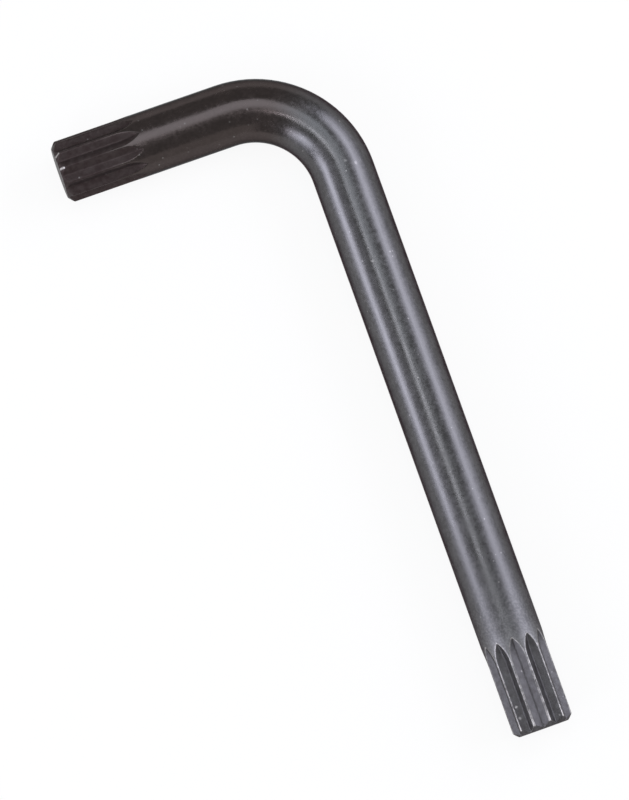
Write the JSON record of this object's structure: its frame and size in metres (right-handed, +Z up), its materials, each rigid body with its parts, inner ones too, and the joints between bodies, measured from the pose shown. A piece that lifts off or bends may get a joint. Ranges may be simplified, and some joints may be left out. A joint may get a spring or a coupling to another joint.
{
  "type": "triple square key",
  "caption": "L-shaped triple square key: a round blackened steel bar, bent to a right angle, whose grooved star-shaped ends turn screws with a matching socket.",
  "frame": {"origin": "under the middle of the key's box, on the surface that the key lies on", "axes": "+Z up, away from that surface; the long arm runs along -Y from the bend, and the short arm along -X"},
  "size_m": [0.047, 0.112, 0.01],
  "materials": {
    "black_steel": "satin black oxide, worn bright along the points"
  },
  "bodies": {
    "root": {"key": "black_steel"}
  },
  "joints": []
}
